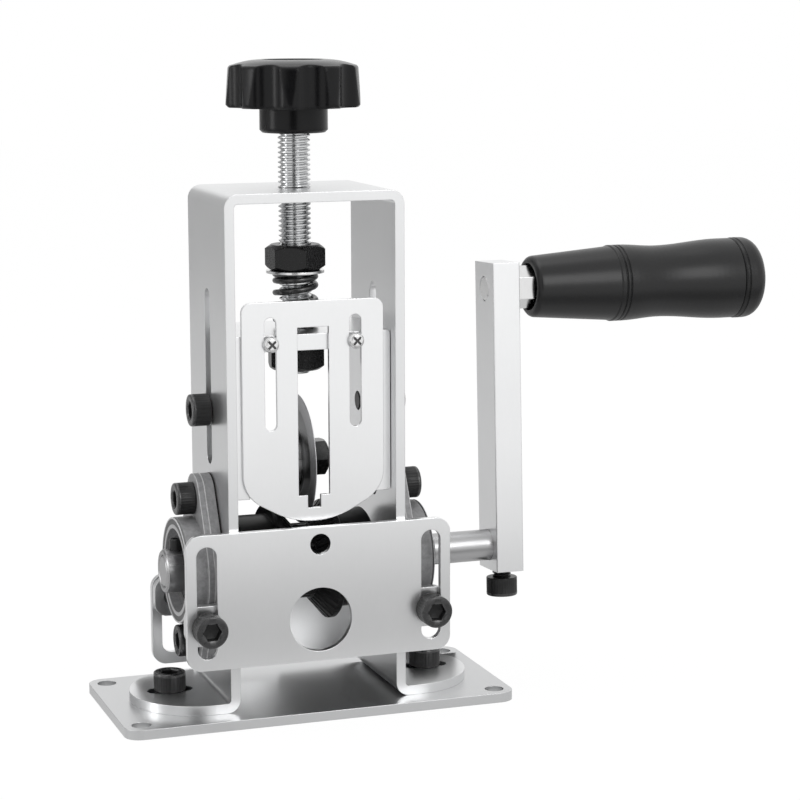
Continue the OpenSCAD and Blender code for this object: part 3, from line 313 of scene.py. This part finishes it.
SHEET = {"grain": SHEET_GRAIN, "spread": 0.015, "relief": 0.02, "vary": 0.03}
MATERIALS = {
    "plated_sheet": metal("satin_plate", (0.80, 0.805, 0.81), rough=0.30, **SHEET),
    "bright_plate": metal("bright_plate", (0.90, 0.905, 0.91), rough=0.285, **SHEET),
    "plated_bar": metal("satin_bar", (0.86, 0.865, 0.87), rough=0.30, grain=BAR_GRAIN,
                        spread=0.015, relief=0.02, vary=0.04),
    "base_sheet": metal("satin_base", (0.62, 0.625, 0.63), rough=0.31, grain=BASE_GRAIN,
                        spread=0.01, relief=0.006, vary=0.03),
    "bright_steel": metal("bright_steel", (0.80, 0.80, 0.80), rough=0.18, grain=DRAWN_GRAIN),
    "shaft_steel": metal("shaft_steel", (0.46, 0.46, 0.465), rough=0.32, grain=TURNED_GRAIN),
    "screw_steel": metal("screw_steel", (0.68, 0.685, 0.69), rough=0.20, grain=FINE_GRAIN, edge=0.0),
    "head_steel": metal("head_steel", (0.82, 0.82, 0.82), rough=0.22, grain=FINE_GRAIN, edge=0.0002),
    "ring_steel": turned("ring_steel", (0.62, 0.62, 0.625), 0.34, SHAFT_LINE, EVEN),
    "collar_steel": turned("collar_steel", (0.44, 0.44, 0.445), 0.28, SHAFT_LINE, EVEN, streak=0.4),
    "shield_steel": turned("shield_steel", (0.45, 0.45, 0.455), 0.35, SHAFT_LINE, SHIELD_BANDS,
                           spread=0.1),
    "blade_steel": turned("blade_steel", (0.30, 0.30, 0.305), 0.36, AXLE_LINE, BLADE_SHADE_AND_HIGHLIGHT_BANDS,
                          streak=0.75),
    "cast_housing": coated("grey_casting", (0.25, 0.25, 0.255), rough=0.45, scale=700.0, relief=0.4,
                           edge=0.0006),
    # lighter grey: raised mould lines, and painted highlights on the flange corners and boss rims
    "cast_line": coated("casting_line_and_highlight", (0.50, 0.50, 0.505), rough=0.4, scale=700.0, relief=0.2,
                        edge=0.0),
    "recess_shade": coated("recess_shade", (0.07, 0.07, 0.071), rough=0.5, scale=700.0, relief=0.1,
                           edge=0.0, specular=0.3),
    # near black: painted shade in the gap between flange and leg
    "dark_gap": coated("dark_gap", (0.012, 0.012, 0.012), rough=0.6, scale=700.0, relief=0.1,
                       edge=0.0, specular=0.1),
    "black_screws": coated("black_oxide", (0.014, 0.014, 0.0145), rough=0.34, scale=900.0,
                           relief=0.15, specular=0.35),
    "black_rim": coated("black_oxide_rim", (0.014, 0.014, 0.015), rough=0.28, scale=900.0,
                        relief=0.15, specular=0.9),
    "black_nuts": coated("black_oxide_nut", (0.007, 0.007, 0.0075), rough=0.28, scale=900.0,
                         relief=0.1, edge=0.0004, specular=0.35),
    "bright_nuts": coated("oxide_nut_face", (0.012, 0.012, 0.0125), rough=0.25, scale=900.0,
                          relief=0.1, edge=0.0004, specular=0.9),
    "seal_rubber": coated("seal", (0.05, 0.05, 0.051), rough=0.4, scale=900.0, relief=0.1,
                          edge=0.0001, specular=0.6),
    "spring_wire": coated("spring_black", (0.012, 0.012, 0.012), rough=0.22, scale=900.0, relief=0.1,
                          edge=0.0, specular=0.9),
    "black_roller": coated("roller_black", (0.012, 0.012, 0.0125), rough=0.36, scale=800.0,
                           relief=0.15, specular=0.25),
    "grip_plastic": coated("grip_plastic", (0.007, 0.007, 0.0075), rough=0.32, scale=1500.0,
                           relief=0.08, specular=0.4),
    "knob_plastic": coated("knob_plastic", (0.004, 0.004, 0.0045), rough=0.22, scale=1200.0,
                           relief=0.03, edge=0.0014, specular=0.22),
}

# CAD nodes whose look isn't that of their slot in the record
NODE_MATERIAL = {
    "base_plate": "base_sheet",
    "bearing_inner_rings": "collar_steel",
    "bearing_outer_rings": "ring_steel",
    "blade_carriage": "bright_plate",
    "blade_guard": "bright_plate",
    "blade_nuts": "bright_nuts",
    "blade_washers": "ring_steel",
    "drive_shaft": "shaft_steel",
    "front_guide_plate": "bright_plate",
    "guard_screws": "head_steel",
    "lower_nut": "black_nuts",
    "upper_nut": "black_nuts",
}


def dress_nodes():
    """Gives each CAD node its material."""
    slots = {s["node"]: s["material_slot"] for s in frame["record"]["subparts"]}
    for node, obj in frame["nodes"].items():
        mat = MATERIALS[NODE_MATERIAL.get(node, slots[node])]
        obj.data.materials.clear()
        obj.data.materials.append(mat)


# ---------------------------------------------------------------- stage and light, in metres
WORLD_SOFT = 0.8  # the world's level on matt faces
WORLD_IN_METAL = 0.86  # its share of white in the metal's reflections
FLOOR_HALF = 3.0
FLOOR_SEEN = 1.015  # level of the floor's glow to the camera
FLOOR_GLOW = 0.94  # share of the glow to the camera; the rest takes the object's shadow
FLOOR_REACH = 0.5  # the bands run from -FLOOR_REACH to FLOOR_REACH
# Bands of (y, grey) on the floor, seen by reflections alone: painted shade that the metal fronts
# reflect, darkest 0.1 to 0.18 m in front and grey near the object
FLOOR_SHADE_BANDS = ((-0.33, 1.0), (-0.25, 0.76), (-0.18, 0.42), (-0.10, 0.44), (-0.05, 0.80),
               (0.0, 0.72), (0.1, 0.66))

CARD_CLEAR = 0.004  # a face nearer than this to a card doesn't show it
# Far cards: two corners on the floor, height, grey
FAR_CARDS = {
    "grey_card": ((-0.95, 0.55), (-0.12, 1.15), 0.9, 0.5),
    "camera_card": ((-0.12, -1.06), (-0.53, -0.93), 0.8, 0.04),
}
# Near cards, square to Y, dark sheets of painted shade that the base and blade reflect: y, grey,
# outline in x and z
DARK = 0.02
SHADE_CARDS = {
    "dark_card_left": (0.0238, DARK, (
        (-0.048, 0.009), (-0.0285, 0.007), (-0.0285, 0.028), (-0.043, 0.028))),
    "dark_card_right": (0.0238, DARK, (
        (-0.005, 0.012), (0.001, 0.0064), (0.018, 0.006), (0.030, 0.0032), (0.034, 0.0032),
        (0.034, 0.028), (-0.005, 0.028))),
    "grey_card_right": (0.0238, 0.12, (
        (0.038, 0.0032), (0.062, 0.0032), (0.062, 0.022), (0.038, 0.022))),
    "blade_card": (0.0205, DARK, (
        (-0.0245, 0.042), (-0.002, 0.042), (-0.002, 0.068), (-0.0245, 0.068))),
}

LIGHT_TARGET = (0.03, 0.0, 0.09)
# Area lights: place, width and height, power in watts
LIGHTS = {
    "front_card": ((0.32, -0.95, 0.60), (0.36, 0.55), 2.2),
    "top_card": ((0.0, 0.1, 1.0), (0.7, 0.5), 1.5),
    "left_card": ((-1.0, 0.05, 0.35), (0.25, 0.6), 1.5),
}


def ray_share(tree, shares):
    """Largest of the given shares whose kind of ray this is."""
    path = tree.nodes.new("ShaderNodeLightPath")
    best = None
    for kind, share in shares:
        value = math_node(tree, "MULTIPLY", path.outputs[kind], share)
        best = value if best is None else math_node(tree, "MAXIMUM", best, value)
    return best


def stage_plane(name, corners, material):
    """Flat piece of the stage, its front where its corners run anticlockwise."""
    mesh = bpy.data.meshes.new(name)
    mesh.from_pydata(corners, [], [tuple(range(len(corners)))])
    plane = bpy.data.objects.new(name, mesh)
    bpy.context.scene.collection.objects.link(plane)
    plane.data.materials.append(material)
    return plane


def make_floor():
    """White table: plain white to the camera with a trace of shadow, with bands of painted shade that
    only reflections show.
    """
    mat, tree, ground = matt_material("floor", 0.9)
    parts = tree.nodes.new("ShaderNodeSeparateXYZ")
    tree.links.new(object_coords(tree), parts.inputs[0])
    depth = tree.nodes.new("ShaderNodeMapRange")
    depth.inputs["From Min"].default_value = -FLOOR_REACH
    depth.inputs["From Max"].default_value = FLOOR_REACH
    tree.links.new(parts.outputs["Y"], depth.inputs["Value"])
    stops = [((y + FLOOR_REACH) / (2 * FLOOR_REACH), (grey, grey, grey)) for y, grey in FLOOR_SHADE_BANDS]
    bands = colour_stops(tree, depth.outputs["Result"], stops)
    plain = ray_share(tree, (("Is Camera Ray", FLOOR_SEEN), ("Is Transmission Ray", 1.0)))
    path = tree.nodes.new("ShaderNodeLightPath")
    level = math_node(tree, "MULTIPLY_ADD", path.outputs["Is Glossy Ray"], bands, plain)
    glow = tree.nodes.new("ShaderNodeEmission")
    tree.links.new(level, glow.inputs["Strength"])
    share = ray_share(tree, (("Is Camera Ray", FLOOR_GLOW), ("Is Glossy Ray", 1.0),
                             ("Is Transmission Ray", 1.0)))
    mix_to_output(tree, share, ground, glow.outputs[0])
    s = FLOOR_HALF
    stage_plane("floor", [(-s, -s, 0), (s, -s, 0), (s, s, 0), (-s, s, 0)], mat)


def card(name, corners, grey):
    """Card that only reflections show: from its front, and not on a face that nearly touches it."""
    mat, tree, front = matt_material(name, grey)
    path = tree.nodes.new("ShaderNodeLightPath")
    geometry = tree.nodes.new("ShaderNodeNewGeometry")
    close = math_node(tree, "LESS_THAN", path.outputs["Ray Length"], CARD_CLEAR)
    unseen = math_node(tree, "MAXIMUM", close, geometry.outputs["Backfacing"])
    clear = tree.nodes.new("ShaderNodeBsdfTransparent")
    mix_to_output(tree, unseen, front, clear.outputs[0])
    plane = stage_plane(name, corners, mat)
    plane.visible_camera = False
    plane.visible_shadow = False
    plane.visible_diffuse = False


def make_cards():
    """Grey card for the left faces, a dark one behind the camera, and near dark ones that paint shade
    into the reflections of base and blade.
    """
    for name, (first, second, height, grey) in FAR_CARDS.items():
        card(name, [(*first, 0.0), (*second, 0.0), (*second, height), (*first, height)], grey)
    for name, (y, grey, outline) in SHADE_CARDS.items():
        card(name, [(x, y, z) for x, z in outline], grey)


def make_world():
    """White world, a little softer on matt faces and in metal."""
    world = bpy.data.worlds.new("world")
    bpy.context.scene.world = world
    world.use_nodes = True
    tree = world.node_tree
    tree.nodes.clear()
    tree.nodes.new("ShaderNodeOutputWorld")
    levels = []
    for strength in (WORLD_SOFT, 1.0):
        node = tree.nodes.new("ShaderNodeBackground")
        node.inputs["Color"].default_value = WHITE
        node.inputs["Strength"].default_value = strength
        levels.append(node.outputs[0])
    share = ray_share(tree, (("Is Camera Ray", 1.0), ("Is Glossy Ray", WORLD_IN_METAL),
                             ("Is Transmission Ray", 1.0)))
    mix_to_output(tree, share, *levels)


def make_lights():
    """Soft area lights, all turned to the middle of the object."""
    for name, (place, size, power) in LIGHTS.items():
        data = bpy.data.lights.new(name, "AREA")
        data.shape = "RECTANGLE"
        data.size, data.size_y = size
        data.energy = power
        light = bpy.data.objects.new(name, data)
        light.location = place
        aim = Vector(LIGHT_TARGET) - Vector(place)
        light.rotation_euler = aim.to_track_quat("-Z", "Y").to_euler()
        bpy.context.scene.collection.objects.link(light)


# ---------------------------------------------------------------- meshes and places, in millimetres
SHARP_ANGLE = math.radians(32.0)


def piece(name, verts, faces, place, body, slot, material, nodes=(), smooth=True,
          second=None, second_faces=()):
    """Adds a mesh in millimetres, placed by a matrix, that rides on a body."""
    mesh = bpy.data.meshes.new(name)
    mesh.from_pydata([place @ (Vector(v) * MM) for v in verts], [], faces)
    if smooth:
        mesh.shade_smooth()
        mesh.set_sharp_from_angle(angle=SHARP_ANGLE)
    mesh.materials.append(MATERIALS[material])
    if second:
        mesh.materials.append(MATERIALS[second])
        for index in second_faces:
            mesh.polygons[index].material_index = 1
    obj = bpy.data.objects.new(name, mesh)
    bpy.context.scene.collection.objects.link(obj)
    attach(obj, body)
    if nodes:
        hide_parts(*nodes)
    return obj


def place_mm(x, y, z, axis, turn=0.0):
    """Matrix that puts a piece made along +Z at a point in mm, its +Z along axis."""
    tilt = Vector((0, 0, 1)).rotation_difference(Vector(axis)).to_matrix().to_4x4()
    return Matrix.Translation(Vector((x, y, z)) * MM) @ tilt @ Matrix.Rotation(turn, 4, "Z")


def on_crank(matrix):
    """Turns a piece of the upright crank to where it stands at rest."""
    pivot = Vector((0, 0, SHAFT_Z)) * MM
    lean = Matrix.Rotation(CRANK_ANGLE, 4, "X")
    return Matrix.Translation(pivot) @ lean @ Matrix.Translation(-pivot) @ matrix


def on_leg(side):
    """Matrix that puts a piece made along +Z on the outer face of a leg, round the shaft."""
    return place_mm(side * LEG_OUT, 0, SHAFT_Z, (side, 0, 0))


def circle_points(radius, z, steps):
    """Ring of points round Z; the radius is a number or a function of the angle."""
    points = []
    for i in range(steps):
        a = 2 * math.pi * i / steps
        r = radius(a) if callable(radius) else radius
        points.append((r * math.cos(a), r * math.sin(a), z))
    return points


def ring_faces(rings, sides):
    """Quads between rings of vertices that follow one another."""
    faces = []
    for k in range(rings - 1):
        for i in range(sides):
            low, low_next = k * sides + i, k * sides + (i + 1) % sides
            faces.append((low, low_next, low_next + sides, low + sides))
    return faces


def merge(*parts):
    verts, faces = [], []
    for part_verts, part_faces in parts:
        start = len(verts)
        verts.extend(part_verts)
        faces.extend(tuple(i + start for i in face) for face in part_faces)
    return verts, faces


THREAD_DEPTH = 0.61  # share of the pitch
# Thread profile: shares of the pitch along the rod, and of the depth
THREAD_PROFILE = ((0.0, 0.0), (0.12, 0.0), (0.44, 1.0), (0.56, 1.0), (0.88, 0.0))


def thread(r, pitch, low, high, chamfer, steps):
    """Rod with a real helical thread and chamfered ends, as vertices and faces."""
    depth = THREAD_DEPTH * pitch
    turns = range(-1, int((high - low) / pitch) + 2)
    rows = [(k + along, r - deep * depth) for k in turns for along, deep in THREAD_PROFILE]
    verts, faces = [], []
    for height, radius in rows:
        for i in range(steps + 1):
            z = min(max(low + (height + i / steps) * pitch, low), high)
            limit = r - max(0.0, chamfer - (z - low), chamfer - (high - z))
            rr = min(radius, limit)
            a = 2.0 * math.pi * i / steps
            verts.append((rr * math.cos(a), rr * math.sin(a), z))
    wide = steps + 1
    for j in range(len(rows) - 1):
        for i in range(steps):
            a = j * wide + i
            faces.append((a, a + 1, a + 1 + wide, a + wide))
    last = (len(rows) - 1) * wide
    faces.append(tuple(reversed(range(steps))))
    faces.append(tuple(range(last, last + steps)))
    return verts, faces


def lathe(profile, steps):
    """Surface turned about Z from (radius, height) points that stay off the axis."""
    verts = [point for r, z in profile for point in circle_points(r, z, steps)]
    return verts, ring_faces(len(profile), steps)


# ---------------------------------------------------------------- cap screws
KNURLS, KNURL_DEPTH = 36, 0.22
HEAD_STEPS = 3 * KNURLS
RIM_R = 0.55
RIM_STEPS = 4


def socket_head():
    """Cap screw head with a knurled side, a round rim and a hexagon socket; also its rim's faces."""

    def knurl(depth):
        return lambda a: M6_HEAD_R - depth * abs(math.cos(KNURLS * a / 2.0)) ** 3

    def hexagon(a):
        sixth = math.pi / 6
        return M6_SOCKET_AF / 2.0 / math.cos((a + sixth) % (2 * sixth) - sixth)

    rings = [(M6_R, 0.0), (M6_HEAD_R - 0.2, 0.0), (M6_HEAD_R - 0.05, 0.15), (knurl(0.0), 0.5),
             (knurl(KNURL_DEPTH), 0.8), (knurl(KNURL_DEPTH), M6_HEAD_H - 1.3),
             (knurl(0.0), M6_HEAD_H - 1.0)]
    first_rim = len(rings) - 1
    for i in range(RIM_STEPS):
        a = math.pi / 2 * (i + 1) / RIM_STEPS
        rings.append((M6_HEAD_R - RIM_R + RIM_R * math.cos(a), M6_HEAD_H - RIM_R + RIM_R * math.sin(a)))
    rings.append((M6_SOCKET_AF / 2.0 + 0.65, M6_HEAD_H))
    rings.append((hexagon, M6_HEAD_H - 0.35))
    rim_end = len(rings) - 1
    rings.append((hexagon, M6_HEAD_H - M6_SOCKET_DEPTH))
    verts = [point for radius, z in rings for point in circle_points(radius, z, HEAD_STEPS)]
    faces = ring_faces(len(rings), HEAD_STEPS)
    tip, floor = len(verts), (len(rings) - 1) * HEAD_STEPS
    verts.append((0.0, 0.0, M6_HEAD_H - M6_SOCKET_DEPTH - 0.6))
    faces += [(floor + i, floor + (i + 1) % HEAD_STEPS, tip) for i in range(HEAD_STEPS)]
    return verts, faces, range(first_rim * HEAD_STEPS, rim_end * HEAD_STEPS)


def socket_screws(name, node, body, places, shank):
    """One piece for each screw of a CAD node, with the node's own places."""
    verts, faces, rim = socket_head()
    shaft = thread(M6_R, M6_PITCH, -shank, 0.0, chamfer=0.6, steps=24)
    mesh = merge((verts, faces), shaft)
    for i, place in enumerate(places):
        piece(f"{name}_{i}", *mesh, place, body, "black_screws", "black_screws", (node,),
              second="black_rim", second_faces=rim)


def make_screws():
    """All cap screws, at their places in the CAD, each turned a little differently."""
    sides = (-1, 1)
    foot_x, foot_z, foot_shank = 42.25, 6.0, 5.99
    socket_screws(
        "foot_screw", "foot_screws", "stand",
        [place_mm(s * foot_x, 0, foot_z, (0, 0, 1), 0.4 * s) for s in sides], foot_shank)
    flange_out, bolt_half, bolt_shank = LEG_OUT + 5.5, 22.5, 8.0
    socket_screws(
        "bearing_bolt", "bearing_bolts", "stand",
        [place_mm(s * flange_out, 0, SHAFT_Z + z, (s, 0, 0), 0.3 * z)
         for s in sides for z in (-bolt_half, bolt_half)], bolt_shank)
    ear_x, ear_z, ear_shank = 35.9, 31.0, 6.15
    head_y = 23.67  # the heads just clear the sliding plates
    socket_screws(
        "front_plate_screw", "front_plate_screws", "stand",
        [place_mm(s * ear_x, -head_y, ear_z, (0, -1, 0), 0.5 * s) for s in sides], ear_shank)
    socket_screws(
        "rear_plate_screw", "rear_plate_screws", "stand",
        [place_mm(s * ear_x, head_y, ear_z, (0, 1, 0), 0.2 * s) for s in sides], ear_shank)
    guide_x, guide_z, guide_shank = 28.4, 93.9, 8.5
    socket_screws(
        "guide_screw", "guide_screws", "carriage",
        [place_mm(s * guide_x, 0, guide_z, (s, 0, 0), 0.3 * s) for s in sides], guide_shank)
    arm_x, clamp_z, clamp_shank = 68.8, 33.2, 6.25
    socket_screws(
        "clamp_screw", "arm_clamp_screw", "crank",
        [on_crank(place_mm(arm_x, 0, clamp_z, (0, 0, -1), 0.2))], clamp_shank)


# ---------------------------------------------------------------- lead screw and spring
def make_lead_screw():
    """Lead screw with its thread, just inside the bores of the nuts."""
    low, high = [v[2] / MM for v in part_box("lead_screw")]
    mesh = thread(M10_R - 0.02, M10_PITCH, low, high, chamfer=1.0, steps=48)
    piece("lead_screw_thread", *mesh, Matrix.Identity(4), "screw", "bright_steel", "screw_steel",
          ("lead_screw",))


def make_spring():
    """Round wire on the CAD spring's centre line, with a ground end; rides on the feed body."""
    foot, washer, float_range = 118.2, 135.2, 3.0
    mean_r, wire, gap, turns, start = 6.2, 1.9, 0.05, 4.2, math.radians(-50.0)
    top_turn, end_turn, end_pitch = 50 / 12, 4.8, 1.5  # the last turn runs on into the washer
    close = wire + 0.5  # pitch of the first and last turn
    rise = washer - foot - wire - 2 * gap
    pitch = (rise - 2 * close) / (turns - 2)
    per_turn, sides = 36, 12

    def centre(t):
        if t > top_turn:
            z = rise - close * (turns - top_turn) + end_pitch * (t - top_turn)
        elif t < 1:
            z = close * t
        elif t > turns - 1:
            z = rise - close * (turns - t)
        else:
            z = close + pitch * (t - 1)
        a = 2 * math.pi * t + start
        return Vector((mean_r * math.cos(a), mean_r * math.sin(a), foot + wire / 2 + gap + z))

    path = [centre(i / per_turn) for i in range(round(end_turn * per_turn) + 1)]
    path.insert(0, path[0] + (path[0] - path[1]).normalized() * wire)
    path.append(path[-1] + (path[-1] - path[-2]).normalized() * wire)
    verts = []
    for i, p in enumerate(path):
        along = (path[min(i + 1, len(path) - 1)] - path[max(i - 1, 0)]).normalized()
        out = Vector((p.x, p.y, 0)).normalized()
        u = (out - along * out.dot(along)).normalized()
        v = along.cross(u)
        for k in range(sides):
            a = 2 * math.pi * k / sides
            x, y, z = p + (u * math.cos(a) + v * math.sin(a)) * wire / 2
            verts.append((x, y, min(z, washer - gap / 2)))
    faces = [(a, d, c, b) for a, b, c, d in ring_faces(len(path), sides)]
    last = (len(path) - 1) * sides
    faces.append(tuple(range(sides)))
    faces.append(tuple(reversed(range(last, last + sides))))
    spring = piece("pressure_spring_wire", verts, faces, Matrix.Identity(4), "feed", "spring_wire",
                   "spring_wire", ("pressure_spring",))
    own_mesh(spring)


# ---------------------------------------------------------------- bearings
def make_shields():
    """Ribbed rubber shields of the two bearings, inner and outer; heights are from the leg."""
    base, rib, inside, outside, middle = 7.82, 8.29, 7.95, 10.69, 5.0
    dip, slope, flat_end, rib_end = 0.28, 0.12, 0.4, 0.5
    profile = [(inside, base), (inside, rib)]
    for r in (8.55, 9.35, 10.15):
        profile += [(r, rib), (r + slope, rib - dip), (r + flat_end, rib - dip), (r + rib_end, rib)]
    profile += [(outside, rib - 0.1), (outside, base), (inside, base)]
    mirrored = [(r, 2 * middle - z) for r, z in reversed(profile)]
    for side, word in SIDES:
        for name, outline in (("outer", profile), ("inner", mirrored)):
            piece(f"shield_{word}_{name}", *lathe(outline, 72), on_leg(side), "stand",
                  "seal_rubber", "shield_steel", ("bearing_seals",))


def make_mouths():
    """Rings at the mouth of each bearing boss: a raised rim painted light as a highlight, a dark ring
    of painted shade inside it, and the ring's face.
    """
    face = 11.5  # from the leg to the boss's face
    low = face - 0.05
    rim = [(15.85, low), (15.95, face + 0.16), (16.3, face + 0.16), (16.45, low)]
    seat = [(14.3, low), (14.3, face + 0.03), (15.85, face + 0.03), (15.85, low)]
    ring = [(13.02, low), (13.05, face + 0.08), (14.2, face + 0.08), (14.3, low)]
    # rim: painted highlight; shade ring: painted shade of the counterbore's wall, in the seal's dark
    # material
    looks = (("rim", rim, "cast_line"), ("seat", seat, "seal_rubber"), ("ring", ring, "ring_steel"))
    for side, word in SIDES:
        for name, profile, look in looks:
            piece(f"mouth_{name}_{word}", *lathe(profile + profile[:1], 96), on_leg(side), "stand",
                  "cast_housing", look)


FLANGE_CIRCLES = ((0.0, 18.0), (22.5, 7.5), (-22.5, 7.5))  # place along the flange, radius
FLANGE_STEPS = 120


def flange_band(sections):
    """Bands round a cast flange's edge, as vertices and faces; sections are (out, height) loops."""
    verts, faces = [], []
    for section in sections:
        start, sides = len(verts), len(section)
        for i in range(FLANGE_STEPS):
            a = 2 * math.pi * (i + 0.5) / FLANGE_STEPS
            u = Vector((math.cos(a), math.sin(a)))
            y, r = max(FLANGE_CIRCLES, key=lambda c: c[0] * u.y + c[1])
            verts.extend((u.x * (r + out), y + u.y * (r + out), z) for out, z in section)
        for i in range(FLANGE_STEPS):
            row, next_row = start + i * sides, start + (i + 1) % FLANGE_STEPS * sides
            for k in range(sides):
                k_next = (k + 1) % sides
                faces.append((row + k, next_row + k, next_row + k_next, row + k_next))
    return verts, faces


def make_casting_lines():
    """Mould lines round the edge of each cast flange, painted lighter as highlights, a painted
    highlight band along its corner, and a dark strip of painted shade in the gap behind it.
    """
    # Mould: a raised ridge painted lighter as a highlight; corner: a painted highlight band; gap: a
    # dark strip of painted shade against the leg
    mould = ((-0.1, 3.2), (0.16, 3.3), (0.16, 3.55), (-0.1, 3.65))
    corner = ((-0.1, 5.2), (0.07, 5.25), (0.02, 5.49), (-0.1, 5.49))
    gap = ((-0.1, 0.01), (0.04, 0.01), (0.04, 0.4), (-0.1, 0.4))
    for side, word in SIDES:
        upright = Matrix(((0, 0, side, 0), (side, 0, 0, 0), (0, 1, 0, 0), (0, 0, 0, 1)))
        place = Matrix.Translation(Vector((side * LEG_OUT, 0, SHAFT_Z)) * MM) @ upright
        piece(f"casting_line_and_highlight_{word}", *flange_band((mould, corner)), place, "stand",
              "cast_housing", "cast_line")
        piece(f"flange_gap_shade_{word}", *flange_band((gap,)), place, "stand", "cast_housing", "dark_gap")


# ---------------------------------------------------------------- guard screws
def make_guard_crosses():
    """Shaded bottoms of the cross recesses in the two guard screws."""
    seat_y, screw_z, x_half, head_h = -18.2, 115.7, 13.5, 1.9
    long, wide, low, high = 1.58, 0.34, head_h - 0.79, head_h - 0.3
    cross = [(wide, wide), (wide, long), (-wide, long), (-wide, wide), (-long, wide), (-long, -wide),
             (-wide, -wide), (-wide, -long), (wide, -long), (wide, -wide), (long, -wide), (long, wide)]
    n = len(cross)
    verts = [(x, y, h) for h in (low, high) for x, y in cross]
    faces = [(i, (i + 1) % n, n + (i + 1) % n, n + i) for i in range(n)] + [tuple(range(n, 2 * n))]
    for side, word in SIDES:
        place = place_mm(side * x_half, seat_y, screw_z, (0, -1, 0), math.radians(45.0))
        piece(f"guard_cross_{word}", verts, faces, place, "carriage", "bright_steel",
              "recess_shade", smooth=False)


make_camera()
make_world()
make_lights()
make_floor()
make_cards()
dress_nodes()
make_screws()
make_lead_screw()
make_spring()
make_shields()
make_casting_lines()
make_mouths()
make_guard_crosses()
